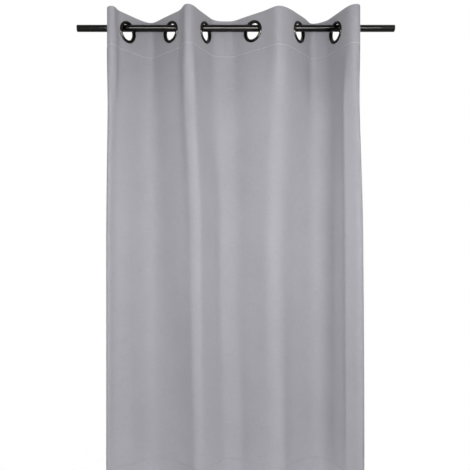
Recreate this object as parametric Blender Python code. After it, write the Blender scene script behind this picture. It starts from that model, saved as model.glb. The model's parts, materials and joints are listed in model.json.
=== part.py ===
"""A six-eyelet curtain panel hanging in folds on its rod.

The row frame is the rod's: the origin is the middle of the rod's axis, +X runs along the rod to the right,
-Y points into the room and +Z is up. Seen from above, the cloth follows one plan curve that crosses the rod
at every eyelet. A pleat is the cloth from one fold crest to the next with one eyelet in its middle. It is
flat where the eyelet clamps it, and curves from there to its crests. Neighbouring pleats hinge on the
upright line of the crest between them, which lies half way between their eyelets, so every eyelet stays on
the rod as they fold. All sizes are in metres.
"""

import math

import bmesh
import bpy
from mathutils import Matrix, Vector

MM = 0.001
TOUCH = 0.3 * MM  # the gap kept between pieces that touch

# The rod: a tube with a push-in plug in each end.
ROD_LENGTH = 0.935
ROD_RADIUS = 10.0 * MM
ROD_WALL = 1.0 * MM
PLUG_HEAD = 2.0 * MM
PLUG_SPIGOT = 14.0 * MM

# The cloth as it is cut and sewn.
DROP = 1.370
CLOTH_BETWEEN_EYELETS = 0.118  # from the flat cloth around one eyelet to that around the next
SIDE_CLOTH = 0.084  # from the flat cloth around an end eyelet to the side edge
CLOTH_ABOVE_EYELETS = 0.0205  # from the top of the eyelets to the head
HEADER_BELOW_EYELETS = 0.027  # from the bottom of the eyelets to the header's sewn edge
BOTTOM_HEM = 0.050
SIDE_HEM = 0.025
CLOTH = 1.0 * MM
STIFFENER = 0.6 * MM
SEAM_INSET = 3.0 * MM  # from a hem's sewn edge to its seam
THREAD_WIDTH = 0.9 * MM
THREAD_HEIGHT = 0.5 * MM
HEM_STEP = 1.0 * MM  # the cloth's thickness changes over this length at a side hem's sewn edge

# The eyelets: a front ring whose barrel goes through the cloth, and a back ring around that barrel.
EYELET_RADIUS = 32.0 * MM
BORE_RADIUS = 23.0 * MM
BARREL_WALL = 1.4 * MM
RING_HEIGHT = 3.4 * MM
RING_STEPS = 24

# How the panel hangs at rest.
EYELET_OPENINGS = (0.705, 0.549, 0.772, 0.735, 0.598)  # rod between two eyelets, as a share of the pitch
EYELET_SLOPES = (50.0, 46.0, 59.0, 42.0, 49.0, 72.0)  # of each pleat to the rod, in degrees
FIRST_EYELET_X = -0.3195
END_FOLD_RUN = (0.0365, 0.0385)  # along the rod, from the end eyelets to the last crests
END_FOLD_DEPTH = (0.060, 0.072)
RETURN_RADIUS = 0.0145  # past the end crests the cloth curls back on this radius
RETURN_TURN = 105.0  # by this many degrees, and then runs straight to its side edge
SPREAD = 0.5  # degrees by which the pleats may turn flatter than at rest
CREST_GAP = 1.7 * MM  # cloth left out on each side of a crest, so that the pleats can fold there

CURVE_STEPS = 9
HANDLE_AT_EYELET = 0.42  # handle lengths of a fold's curve, as shares of its chord
HANDLES_AT_CRESTS = (0.35, 0.20, 0.25, 0.38, 0.20, 0.20, 0.30)  # from the left end to the right

# What follows from the sizes above. Offsets are across the cloth, positive towards the room.
POCKET = STIFFENER / 2 + TOUCH  # half of the space between the header's two layers
FACE = POCKET + CLOTH  # from the middle of the header to its outside
SEAT = FACE + TOUCH  # where an eyelet's flanges begin
BARREL_RADIUS = BORE_RADIUS + BARREL_WALL
HOLE_RADIUS = BARREL_RADIUS + TOUCH
FLAT_HALF = EYELET_RADIUS + 0.5 * MM  # the cloth is flat this far on each side of an eyelet
EYELET_PITCH = CLOTH_BETWEEN_EYELETS + 2 * FLAT_HALF
HEAD_ABOVE_CENTRES = EYELET_RADIUS + CLOTH_ABOVE_EYELETS
HEADER_DEPTH = HEAD_ABOVE_CENTRES + EYELET_RADIUS + HEADER_BELOW_EYELETS
FRONT_BORE = (  # the front ring's bore, from its barrel out to its crown: (radius, offset)
    (BORE_RADIUS, SEAT - 0.15 * RING_HEIGHT),
    (BORE_RADIUS + 0.4 * MM, SEAT + 0.35 * RING_HEIGHT),
    (BORE_RADIUS + 1.5 * MM, SEAT + 0.76 * RING_HEIGHT),
    (BORE_RADIUS + 3.5 * MM, SEAT + RING_HEIGHT),
)
BARREL_END = SEAT + 0.47 * RING_HEIGHT
BACK_BORE = (  # the back ring's lip, which covers the barrel's end
    (BORE_RADIUS + 0.2 * MM, BARREL_END + TOUCH),
    (BORE_RADIUS + 0.7 * MM, SEAT + 0.78 * RING_HEIGHT),
    (BORE_RADIUS + 3.5 * MM, SEAT + RING_HEIGHT),
)
OUTER_EDGE = (  # the outside of both rings, from crown to seat
    (EYELET_RADIUS - 3.4 * MM, SEAT + RING_HEIGHT),
    (EYELET_RADIUS - 1.2 * MM, SEAT + 0.7 * RING_HEIGHT),
    (EYELET_RADIUS, SEAT + 0.3 * RING_HEIGHT),
    (EYELET_RADIUS, SEAT),
)

EYELET_X = [FIRST_EYELET_X]
for opening in EYELET_OPENINGS:
    EYELET_X.append(EYELET_X[-1] + opening * EYELET_PITCH)


def eyelet_drop(slope):
    """How far an eyelet's centre hangs below the rod's axis, for a pleat at this slope, in radians.

    Looking along the rod, each circle of the bore is an ellipse, and the rod is a circle that has to stay
    inside all of them. The drop is the largest one that keeps it inside, found by halving.
    """
    circles = FRONT_BORE + tuple((radius, -offset) for radius, offset in BACK_BORE)
    turns = [math.radians(angle) for angle in range(0, 181, 3)]
    points = [
        (radius * math.cos(turn) * math.sin(slope) - offset * math.cos(slope), radius * math.sin(turn))
        for radius, offset in circles
        for turn in turns
    ]
    room = ROD_RADIUS + 1.4 * TOUCH
    low, high = 0.0, BORE_RADIUS
    for _ in range(30):
        drop = (low + high) / 2
        if min(math.hypot(across, up - drop) for across, up in points) > room:
            low = drop
        else:
            high = drop
    return low


EYELET_DROPS = [eyelet_drop(math.radians(slope - SPREAD)) for slope in EYELET_SLOPES]
HEAD_Z = HEAD_ABOVE_CENTRES - sum(EYELET_DROPS) / len(EYELET_DROPS)
HEM_Z = HEAD_Z - DROP


def fold_curve(slope, run, depth, crest_handle):
    """Half a pleat in plan: points (run, depth, angle) from the eyelet's flat cloth to the crest.

    The curve is a cubic that leaves the flat cloth at its slope and reaches the crest along the rod. The
    shorter its handle at the crest, the sharper the fold.
    """
    start = Vector((FLAT_HALF * math.cos(slope), FLAT_HALF * math.sin(slope)))
    end = Vector((run, depth))
    chord = (end - start).length
    leave = start + HANDLE_AT_EYELET * chord * Vector((math.cos(slope), math.sin(slope)))
    arrive = end - Vector((crest_handle * chord, 0))
    points = []
    for step in range(CURVE_STEPS + 1):
        t = step / CURVE_STEPS
        u = 1 - t
        place = u**3 * start + 3 * u * u * t * leave + 3 * u * t * t * arrive + t**3 * end
        heading = u * u * (leave - start) + 2 * u * t * (arrive - leave) + t * t * (end - arrive)
        points.append((place.x, place.y, math.atan2(heading.y, heading.x)))
    return points


def length_of(points):
    return sum(math.dist(a[:2], b[:2]) for a, b in zip(points, points[1:]))


def crest_depth(gap, slopes, crest_handle):
    """The depth of the fold between two eyelets this gap apart, which makes its cloth one pitch long."""
    low, high = FLAT_HALF * math.sin(max(slopes)), EYELET_PITCH
    for _ in range(40):
        depth = (low + high) / 2
        cloth = 2 * FLAT_HALF
        for slope in slopes:
            cloth += length_of(fold_curve(slope, gap / 2, depth, crest_handle))
        if cloth < EYELET_PITCH:
            low = depth
        else:
            high = depth
    return low


def trimmed(points, cut):
    """The curve without the last stretch of this length, which is cut from its last segment or two."""
    points = list(points)
    while math.dist(points[-1][:2], points[-2][:2]) < cut:
        cut -= math.dist(points[-1][:2], points[-2][:2])
        points.pop()
    share = cut / math.dist(points[-1][:2], points[-2][:2])
    points[-1] = tuple(share * a + (1 - share) * b for a, b in zip(points[-2], points[-1]))
    return points


def return_point(end, along):
    """A point (x, y, angle) of the side cloth past an end crest: an arc that curls back, then straight."""
    angle = min(along / RETURN_RADIUS, math.radians(RETURN_TURN))
    straight = along - angle * RETURN_RADIUS
    x = END_FOLD_RUN[end] + RETURN_RADIUS * math.sin(angle) + straight * math.cos(angle)
    y = END_FOLD_DEPTH[end] - RETURN_RADIUS * (1 - math.cos(angle)) - straight * math.sin(angle)
    return (x, y, -angle)


def end_fold(end, slope):
    """The curve from an end eyelet to the last crest, at the left end (0) or the right end (1)."""
    crest_handle = HANDLES_AT_CRESTS[0 if end == 0 else -1]
    return fold_curve(slope, END_FOLD_RUN[end], END_FOLD_DEPTH[end], crest_handle)


def side_hem_start(end, slope):
    """How far past an end crest the side hem's sewn edge lies, along the cloth."""
    return SIDE_CLOTH - length_of(end_fold(end, slope)) - SIDE_HEM


def return_curve(end, slope):
    """An end half of the panel: the curve to its crest, then the return to the side edge."""
    hem_at = side_hem_start(end, slope)
    cloth = hem_at + SIDE_HEM
    steps = 2 * CURVE_STEPS
    lengths = [cloth * step / steps for step in range(1, steps + 1)]
    lengths = sorted(lengths + [hem_at - HEM_STEP / 2, hem_at + HEM_STEP / 2])
    points = [(*return_point(end, along), along > hem_at) for along in lengths]
    return [(*point, False) for point in end_fold(end, slope)] + points


class Pleat:
    """One pleat's plan. Stations run left to right as (x, y, heading, hemmed); heading is the angle to +X."""

    def __init__(self, index):
        self.index = index
        self.name = str(index + 1)
        self.x = EYELET_X[index]
        self.z = -EYELET_DROPS[index]
        self.slope = math.radians(EYELET_SLOPES[index])
        self.side = 1 if index % 2 == 0 else -1  # +1 where the cloth runs to the back as it goes right
        left = [self.place(point, -1) for point in self.half(index - 1)]
        right = [self.place(point, 1) for point in self.half(index)]
        self.stations = left[::-1] + right

    def half(self, gap_index):
        """The half towards that gap. The ends count as the gaps before the first and after the last eyelet."""
        if 0 <= gap_index < len(EYELET_OPENINGS):
            slopes = [math.radians(EYELET_SLOPES[i]) for i in (gap_index, gap_index + 1)]
            gap = EYELET_OPENINGS[gap_index] * EYELET_PITCH
            crest_handle = HANDLES_AT_CRESTS[gap_index + 1]
            curve = fold_curve(self.slope, gap / 2, crest_depth(gap, slopes, crest_handle), crest_handle)
            return [(*point, False) for point in trimmed(curve, CREST_GAP)]
        return return_curve(0 if gap_index < 0 else 1, self.slope)

    def place(self, point, way):
        run, depth, angle, hemmed = point
        return (self.x + way * run, way * self.side * depth, self.side * angle, hemmed)

    def frame(self):
        """The eyelet's matrix: local +Z points through the cloth into the room, local +Y is up."""
        heading = self.side * self.slope
        along = Vector((math.cos(heading), math.sin(heading), 0))
        into_room = Vector((math.sin(heading), -math.cos(heading), 0))
        axes = Matrix((along, Vector((0, 0, 1)), into_room)).transposed()
        return Matrix.Translation((self.x, 0, self.z)) @ axes.to_4x4()


def material(name, colour, roughness, metallic=0.0):
    made = bpy.data.materials.new(name)
    made.use_nodes = True
    shader = made.node_tree.nodes["Principled BSDF"]
    shader.inputs["Base Color"].default_value = (*colour, 1)
    shader.inputs["Roughness"].default_value = roughness
    shader.inputs["Metallic"].default_value = metallic
    made.diffuse_color = (*colour, 1)
    return made


def object_of(name, mesh_edit, finish, parent):
    """A named object from a bmesh, with its normals made to point outwards."""
    bmesh.ops.recalc_face_normals(mesh_edit, faces=mesh_edit.faces)
    mesh = bpy.data.meshes.new(name)
    mesh_edit.to_mesh(mesh)
    mesh_edit.free()
    mesh.materials.append(finish)
    made = bpy.data.objects.new(name, mesh)
    bpy.context.scene.collection.objects.link(made)
    made.parent = parent
    return made


def swept(stations, outline_of):
    """A closed solid: an upright outline of (offset, z) points carried along the plan stations."""
    work = bmesh.new()
    rings = []
    for x, y, heading, hemmed in stations:
        into_room = (math.sin(heading), -math.cos(heading))
        rings.append([
            work.verts.new((x + offset * into_room[0], y + offset * into_room[1], z))
            for offset, z in outline_of(hemmed)
        ])
    for here, there in zip(rings, rings[1:]):
        for a in range(len(here)):
            b = (a + 1) % len(here)
            work.faces.new((here[a], here[b], there[b], there[a]))
    work.faces.new(rings[0])
    work.faces.new(rings[-1][::-1])
    return work


def turned(profile):
    """A closed solid: a closed profile of (radius, height) points spun about Z."""
    work = bmesh.new()
    verts = [work.verts.new((radius, 0, height)) for radius, height in profile]
    edges = [work.edges.new((verts[i - 1], verts[i])) for i in range(len(verts))]
    bmesh.ops.spin(
        work, geom=verts + edges, cent=(0, 0, 0), axis=(0, 0, 1), angle=math.tau, steps=RING_STEPS
    )
    bmesh.ops.remove_doubles(work, verts=work.verts, dist=0.01 * MM)
    return work


def bore_through(part, cutter_frame):
    """Cuts the eyelet's hole through a swept piece."""
    work = bmesh.new()
    bmesh.ops.create_cone(
        work, cap_ends=True, segments=RING_STEPS, radius1=HOLE_RADIUS, radius2=HOLE_RADIUS, depth=30 * MM
    )
    cutter = object_of(part.name + "_cutter", work, part.data.materials[0], None)
    cutter.matrix_world = cutter_frame
    cutter.hide_render = True
    cutter.display_type = "WIRE"
    cut = part.modifiers.new("Eyelet hole", "BOOLEAN")
    cut.operation = "DIFFERENCE"
    cut.solver = "EXACT"
    cut.object = cutter


def cloth_outline(hemmed):
    """The panel's cloth from the side: turned over the stiffener at the top and turned up at the bottom.

    In the side hems the cloth is doubled.
    """
    inner = POCKET - CLOTH if hemmed else POCKET
    turn = 0.4 * CLOTH
    return [
        (FACE, HEM_Z),
        (FACE, HEAD_Z - turn),
        (FACE - turn, HEAD_Z),
        (turn - FACE, HEAD_Z),
        (-FACE, HEAD_Z - turn),
        (-FACE, HEAD_Z - HEADER_DEPTH),
        (-POCKET, HEAD_Z - HEADER_DEPTH),
        (-POCKET, HEAD_Z - CLOTH),
        (inner, HEAD_Z - CLOTH),
        (inner, HEM_Z + BOTTOM_HEM),
        (POCKET - 2 * CLOTH, HEM_Z + BOTTOM_HEM),
        (POCKET - 2 * CLOTH, HEM_Z),
    ]


def stiffener_outline(_hemmed):
    half = STIFFENER / 2
    low = HEAD_Z - HEADER_DEPTH + 2 * SEAM_INSET
    high = HEAD_Z - CLOTH - TOUCH
    return [(half, low), (half, high), (-half, high), (-half, low)]


def seam_outline(seam_z):
    """A sewn thread on the face of the cloth, at this height."""
    low, high = FACE + TOUCH, FACE + TOUCH + THREAD_HEIGHT
    return [
        (high, seam_z - THREAD_WIDTH / 2),
        (high, seam_z + THREAD_WIDTH / 2),
        (low, seam_z + THREAD_WIDTH / 2),
        (low, seam_z - THREAD_WIDTH / 2),
    ]


def side_seam(pleat, finish, parent):
    """The upright thread that sews a side hem, on the face of the cloth."""
    end, way, name = (0, -1, "side_seam_left") if pleat.index == 0 else (1, 1, "side_seam_right")
    seam_at = side_hem_start(end, pleat.slope) + SEAM_INSET
    places = (seam_at - THREAD_WIDTH / 2, seam_at + THREAD_WIDTH / 2)
    stations = [pleat.place((*return_point(end, along), True), way) for along in places]
    inner, outer = FACE + TOUCH, FACE + TOUCH + THREAD_HEIGHT
    low = HEM_Z + BOTTOM_HEM + SEAM_INSET
    high = HEAD_Z - HEADER_DEPTH - SEAM_INSET
    outline = [(outer, low), (outer, high), (inner, high), (inner, low)]
    return object_of(name, swept(stations[::way], lambda _hemmed: outline), finish, parent)


def front_ring_profile():
    return [
        *FRONT_BORE,
        *OUTER_EDGE,
        (BARREL_RADIUS, SEAT),
        (BARREL_RADIUS, -BARREL_END),
        (BORE_RADIUS, -BARREL_END),
    ]


def back_ring_profile():
    around_barrel = BARREL_RADIUS + TOUCH
    profile = [
        *BACK_BORE,
        *OUTER_EDGE,
        (around_barrel, SEAT),
        (around_barrel, BARREL_END + TOUCH),
    ]
    return [(radius, -offset) for radius, offset in profile]


def plug_profile():
    """An end plug's outline, from its face inwards: a head as wide as the rod, and a spigot inside it."""
    spigot = ROD_RADIUS - ROD_WALL - TOUCH
    return [
        (0, 0),
        (ROD_RADIUS - 0.5 * MM, 0),
        (ROD_RADIUS, -0.5 * MM),
        (ROD_RADIUS, -PLUG_HEAD),
        (spigot, -PLUG_HEAD),
        (spigot, -PLUG_HEAD - PLUG_SPIGOT),
        (0, -PLUG_HEAD - PLUG_SPIGOT),
    ]


def turned_solid(profile):
    """A solid turned piece whose profile begins and ends on the axis."""
    work = bmesh.new()
    verts = [work.verts.new((radius, 0, height)) for radius, height in profile]
    edges = [work.edges.new(pair) for pair in zip(verts, verts[1:])]
    bmesh.ops.spin(
        work, geom=verts + edges, cent=(0, 0, 0), axis=(0, 0, 1), angle=math.tau, steps=RING_STEPS
    )
    bmesh.ops.remove_doubles(work, verts=work.verts, dist=0.01 * MM)
    return work


def smooth(part):
    part.data.shade_smooth()
    part.data.set_sharp_from_angle(angle=math.radians(35))
    return part


def body_empty(name, place=(0, 0, 0)):
    empty = bpy.data.objects.new(name, None)
    bpy.context.scene.collection.objects.link(empty)
    empty.location = place
    return empty


def build_rod(finish):
    body = body_empty("body_rod")
    half = ROD_LENGTH / 2 - PLUG_HEAD - TOUCH
    bore = ROD_RADIUS - ROD_WALL
    tube = smooth(object_of(
        "rod_tube",
        turned([(ROD_RADIUS, -half), (ROD_RADIUS, half), (bore, half), (bore, -half)]),
        finish,
        body,
    ))
    tube.rotation_euler = (0, math.pi / 2, 0)
    for name, way in (("rod_end_plug_left", -1), ("rod_end_plug_right", 1)):
        plug = smooth(object_of(name, turned_solid(plug_profile()), finish, body))
        plug.rotation_euler = (0, way * math.pi / 2, 0)
        plug.location = (way * ROD_LENGTH / 2, 0, 0)


def build_pleat(pleat, finishes):
    """One pleat's cloth, stiffener, seams and eyelet, under an empty at the eyelet."""
    body = body_empty("body_pleat_" + pleat.name, (pleat.x, 0, 0))
    bpy.context.view_layer.update()
    frame = pleat.frame()
    inverse = body.matrix_world.inverted()

    sheet = swept(pleat.stations, cloth_outline)
    cloth = object_of("cloth_pleat_" + pleat.name, sheet, finishes["cloth"], body)
    tape = swept([station for station in pleat.stations if not station[3]], stiffener_outline)
    stiffener = object_of("header_stiffener_" + pleat.name, tape, finishes["stiffener"], body)
    for part in (cloth, stiffener):
        part.matrix_parent_inverse = inverse
        bore_through(part, frame)

    seams = (
        ("header_seam_", HEAD_Z - HEADER_DEPTH + SEAM_INSET),
        ("bottom_seam_", HEM_Z + BOTTOM_HEM - SEAM_INSET),
    )
    for prefix, seam_z in seams:
        outline = seam_outline(seam_z)
        seam = object_of(
            prefix + pleat.name, swept(pleat.stations, lambda _hemmed: outline), finishes["thread"], body
        )
        seam.matrix_parent_inverse = inverse
    if pleat.index in (0, len(EYELET_X) - 1):
        side_seam(pleat, finishes["thread"], body).matrix_parent_inverse = inverse

    rings = (("eyelet_front_ring_", front_ring_profile()), ("eyelet_back_ring_", back_ring_profile()))
    for prefix, profile in rings:
        ring = smooth(object_of(prefix + pleat.name, turned(profile), finishes["eyelet"], body))
        ring.matrix_world = frame


def main():
    for old in list(bpy.data.objects):
        bpy.data.objects.remove(old)
    finishes = {
        "cloth": material("curtain_cloth", (0.37, 0.365, 0.395), 0.85),
        "stiffener": material("stiffener", (0.72, 0.72, 0.70), 0.9),
        "thread": material("thread", (0.47, 0.465, 0.49), 0.7),
        "eyelet": material("eyelet_black_nickel", (0.05, 0.047, 0.042), 0.22, 0.9),
        "rod": material("rod_black_metal", (0.03, 0.03, 0.032), 0.3, 0.8),
    }
    build_rod(finishes["rod"])
    for index in range(len(EYELET_X)):
        build_pleat(Pleat(index), finishes)


main()
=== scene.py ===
"""The finished look of a six-eyelet curtain panel that hangs in folds on its rod.

The panel is one folded sheet. Its place is a function of two lengths: how far along the cloth's width a point lies,
and how far along the folded profile, which runs up the back of the bottom hem, down, round, up the face, over the
head and down the back of the header. Seen from above, the sheet follows one plan curve that crosses the rod at every
eyelet, and lower down the same folds grow softer, lean and gain creases. The sheet is made in sections that meet at
the eyelets, where the cloth is flat. The two side sections ride on their end pleats, and the sections between the
eyelets stay where they are made.
"""

import json
import math

import bpy
import numpy as np
from bpy.props import FloatProperty, FloatVectorProperty, IntProperty, PointerProperty
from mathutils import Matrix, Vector


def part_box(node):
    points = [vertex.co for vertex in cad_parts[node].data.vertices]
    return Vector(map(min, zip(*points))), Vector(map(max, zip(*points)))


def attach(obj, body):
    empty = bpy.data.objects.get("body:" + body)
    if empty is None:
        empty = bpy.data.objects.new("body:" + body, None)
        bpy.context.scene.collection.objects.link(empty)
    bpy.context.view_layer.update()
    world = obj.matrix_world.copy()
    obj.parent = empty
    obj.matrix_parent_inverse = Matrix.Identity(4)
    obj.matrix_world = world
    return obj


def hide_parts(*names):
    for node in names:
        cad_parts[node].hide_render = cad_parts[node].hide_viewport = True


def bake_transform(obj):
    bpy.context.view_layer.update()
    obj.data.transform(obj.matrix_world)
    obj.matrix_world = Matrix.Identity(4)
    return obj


bl_info = {
    "name": "Eyelet curtain",
    "version": (1, 0, 0),
    "blender": (4, 5, 0),
    "location": "View3D > Sidebar > Curtain",
    "description": "Cloth, stitching, eyelets, rod and studio for a curtain panel on its rod",
    "category": "Object",
}

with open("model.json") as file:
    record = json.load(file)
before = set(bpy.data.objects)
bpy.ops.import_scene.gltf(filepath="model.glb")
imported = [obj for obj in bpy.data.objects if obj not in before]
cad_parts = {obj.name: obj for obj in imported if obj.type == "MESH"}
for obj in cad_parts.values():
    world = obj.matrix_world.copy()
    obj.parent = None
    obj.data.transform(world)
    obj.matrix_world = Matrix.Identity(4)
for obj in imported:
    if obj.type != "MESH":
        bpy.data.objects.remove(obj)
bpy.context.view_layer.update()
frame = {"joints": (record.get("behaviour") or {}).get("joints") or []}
JOINTS = {joint["name"]: joint for joint in frame["joints"]}
EYELETS = 6
MM = 0.001

# ---- What the frame says: eyelet places and slopes, the fold crests, heights and radii ----

def middle(node):
    """The middle of a node's box."""
    low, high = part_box(node)
    return (np.array(low) + np.array(high)) / 2


def eyelet_place(number):
    """The centre of an eyelet, and the angle between its cloth and the rod, from its two rings' boxes."""
    front = middle(f"eyelet_front_ring_{number}")
    back = middle(f"eyelet_back_ring_{number}")
    across = front - back
    centre = (front + back) / 2
    return centre, math.atan2(across[0], -across[1])


EYELET_CENTRES = np.array([eyelet_place(number)[0] for number in range(1, EYELETS + 1)])
EYELET_HEADINGS = np.array([eyelet_place(number)[1] for number in range(1, EYELETS + 1)])
CRESTS = np.array([JOINTS[f"fold_{number}"]["pos_m"][:2] for number in range(1, EYELETS)])
HEAD_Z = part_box("cloth_pleat_1")[1][2]
HEM_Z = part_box("cloth_pleat_1")[0][2]
DROP = HEAD_Z - HEM_Z
RING_OUTER = (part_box("eyelet_front_ring_1")[1][2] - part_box("eyelet_front_ring_1")[0][2]) / 2
HEADER_SEAM_Z = middle("header_seam_1")[2]
BOTTOM_SEAM_Z = middle("bottom_seam_1")[2]
ROD_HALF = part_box("rod_end_plug_right")[1][0]
ROD_RADIUS = (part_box("rod_tube")[1][2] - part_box("rod_tube")[0][2]) / 2

# The same lengths as in the frame's own cloth.
SEAM_INSET = 3 * MM
FLAT_HALF = RING_OUTER + 0.5 * MM
SIDE_CLOTH = 0.084
SIDE_HEM = 0.025
END_FOLDS = ((0.0365, 0.060), (0.0385, 0.072))  # run and depth of the last crests, left and right
RETURN_RADIUS = 0.0145
RETURN_TURN = math.radians(105)
HANDLE_AT_EYELET = 0.42  # handles of a fold's curve, as shares of its chord
HANDLES_AT_CRESTS = (0.35, 0.20, 0.25, 0.38, 0.20, 0.20, 0.30)

# The header's layers, the cloth's edges and the eyelets
FACE_OFFSET = 1.0 * MM  # the middle of the face layer, in front of the header's middle
HOLE_RADIUS = 25.5 * MM  # of the cloth's holes, which are a little wider than the barrels in them
HEADER_EDGE_Z = HEADER_SEAM_Z - SEAM_INSET
HEM_EDGE_Z = BOTTOM_SEAM_Z + SEAM_INSET
STIFFENER = 0.6 * MM
BORE = 23.0 * MM
BARREL_WALL = 1.4 * MM
SEAT = 1.9 * MM  # from the header's middle to a ring's flat side
RING_HEIGHT = 3.4 * MM
BARREL_REACH = 0.47 * RING_HEIGHT  # how far the barrel goes on past the back ring's flat side

# Points on half a fold of the plan curve: on its flat part, then on its curve.
FLAT_POINTS, CURVE_POINTS = 12, 48

# ---- How the cloth hangs ----

PLAN_SPREADS = (5 * MM, 23 * MM, 27 * MM)  # how much the folds are rounded at the header, below it and at the bottom
EDGE_SPREAD = 16 * MM  # the most that they are rounded near a side edge, which keeps its turn back
SHALLOWER = 0.28  # share of the folds' depth that is gone below the header, where nothing clamps the cloth

# How far the folds have drifted to the right half way down and at the bottom. The values go from the left end's
# crest to the first eyelet's line, the next crest, the next eyelet's line and so on to the right end's crest.
DRIFT_MIDDLE = np.array([-6, 9, 6, 12, 22, 24, 4, -4, -12, -20, -4, -8, 12]) * MM
DRIFT_BOTTOM = np.array([-6, 20, 14, 34, 28, 32, 18, 0, 0, -20, -2, -6, 14]) * MM

# Creases run down the cloth. Each is (fold it is counted from, place across at its top and at its bottom, height at
# its top and at its bottom, depth, spread, tip), in millimetres. Heights are counted down from the head, places from
# the fold's crest, and a positive depth stands out into the room.
CREASES = (
    (0, 24, 10, 36, 300, 2.6, 9, 1.5),
    (6, -29, -27, 100, 2400, 13.0, 22, 4.0),
    (2, -22, -20, 110, 1400, 3.0, 18, 8.0),
    (2, 16, 21, 110, 1400, 4.0, 16, 8.0),
    (2, 14, 24, 100, 330, 1.2, 10, 2.0),
    (3, -24, -20, 100, 300, -1.4, 10, 1.5),
    (4, 26, 22, 104, 280, 1.2, 10, 1.5),
    (5, -22, -16, 104, 300, -1.6, 9, 1.5),
    (1, -16, -14, 42, 104, -1.0, 4, 1.2),
    (1, -2, 1, 46, 104, 0.9, 4, 1.0),
    (1, 12, 9, 42, 104, -1.1, 4, 1.2),
    (3, -14, -13, 44, 104, -0.9, 4, 1.0),
    (3, 4, 4, 44, 104, 0.8, 4, 0.8),
    (5, -14, -22, 44, 102, -1.3, 4, 1.0),
)

# Slow waves below the header: height in millimetres, length across and start, then how far their lines sway with
# height, and the sway's own length and start.
WAVES = (
    (0.8, 0.047, 1.3, 0.9, 0.23, 0.0),
    (0.7, 0.031, 4.0, 1.1, 0.31, 2.0),
    (0.5, 0.021, 0.6, 1.4, 0.41, 0.7),
)


# ---- Settings ----

class CurtainClothSettings(bpy.types.PropertyGroup):
    thickness: FloatProperty(
        name="Cloth thickness", description="One layer of the woven cloth",
        default=0.9 * MM, min=0.3 * MM, max=1.0 * MM, unit="LENGTH", precision=5,
    )
    weave_pitch: FloatProperty(
        name="Weave pitch", description="From one yarn to the next",
        default=0.55 * MM, min=0.2 * MM, max=2 * MM, unit="LENGTH", precision=5,
    )
    lean: FloatProperty(
        name="Lean", description="How far the folds drift sideways at the bottom, as a share of the usual drift",
        default=1.0, min=0.0, max=1.5,
    )
    crease: FloatProperty(
        name="Creases", description="Height of the creases, as a share of the usual height",
        default=1.0, min=0.0, max=2.0,
    )
    columns: IntProperty(
        name="Columns", description="Faces across a section of cloth between two eyelets",
        default=72, min=24, max=96,
    )
    colour: FloatVectorProperty(
        name="Cloth colour", description="Colour of the yarn, cool mid grey",
        default=(0.335, 0.330, 0.358), min=0, max=1, subtype="COLOR",
    )
    thread_colour: FloatVectorProperty(
        name="Thread colour", description="Colour of the header's sewing thread, paler than the cloth",
        default=(0.74, 0.73, 0.75), min=0, max=1, subtype="COLOR",
    )
    stitch_pitch: FloatProperty(
        name="Stitch pitch", description="From one stitch to the next",
        default=3.6 * MM, min=2 * MM, max=6 * MM, unit="LENGTH", precision=5,
    )


class CurtainMetalSettings(bpy.types.PropertyGroup):
    ring_colour: FloatVectorProperty(
        name="Eyelet colour", description="Colour of the eyelets' black nickel plate",
        default=(0.030, 0.027, 0.021), min=0, max=1, subtype="COLOR",
    )
    rod_colour: FloatVectorProperty(
        name="Rod colour", description="Colour of the rod's black nickel plate",
        default=(0.016, 0.015, 0.014), min=0, max=1, subtype="COLOR",
    )
    sides: IntProperty(
        name="Sides", description="Faces around an eyelet or the rod", default=96, min=32, max=128,
    )


class CurtainStageSettings(bpy.types.PropertyGroup):
    camera_distance: FloatProperty(
        name="Camera distance", description="From the camera to the rod's plane",
        default=1.55, min=0.5, max=5, unit="LENGTH",
    )
    camera_height: FloatProperty(
        name="Camera height", description="Height of the level camera, from the rod's axis",
        default=-0.6094, min=-2, max=1, unit="LENGTH",
    )
    camera_left: FloatProperty(
        name="Camera to the left", description="From the middle of the view to the camera, which looks straight on",
        default=0.10, min=-0.5, max=0.5, unit="LENGTH",
    )
    view_height: FloatProperty(
        name="View height", description="How much of the rod's plane the picture takes in",
        default=1.3865, min=0.5, max=4, unit="LENGTH",
    )
    view_left: FloatProperty(
        name="View to the left", description="From the rod's middle to the middle of the view",
        default=2 * MM, min=-0.5, max=0.5, unit="LENGTH",
    )
    room_light: FloatProperty(
        name="Room light", description="Strength of the soft light from all around", default=0.34, min=0, max=2,
    )
    front_power: FloatProperty(
        name="Front light", description="Power of the wide light in front, in watts", default=15.0, min=0, max=200,
    )
    side_power: FloatProperty(
        name="Side lights", description="Power of each light at the side, in watts", default=1.8, min=0, max=200,
    )
    back_power: FloatProperty(
        name="Back light", description="Power of the light behind, in watts", default=20.0, min=0, max=200,
    )
    floor_glow: FloatProperty(
        name="Floor glow", description="How much light the floor gives off itself", default=0.45, min=0, max=2,
    )
    strip_power: FloatProperty(
        name="Strip light", description="Power of the narrow light that only the metal reflects, in watts",
        default=170.0, min=0, max=400,
    )
    backdrop: FloatVectorProperty(
        name="Backdrop colour", description="Colour of the studio around the curtain",
        default=(1.0, 1.0, 1.0), min=0, max=1, subtype="COLOR",
    )


# ---- The plan curve ----

def cubic(start, leave, arrive, end, count):
    """Points on a cubic Bezier curve: each is the blend of the four handles by the cubes of t and 1 - t."""
    t = np.linspace(0, 1, count)[:, None]
    u = 1 - t
    return u**3 * start + 3 * u * u * t * leave + 3 * u * t * t * arrive + t**3 * end


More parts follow.
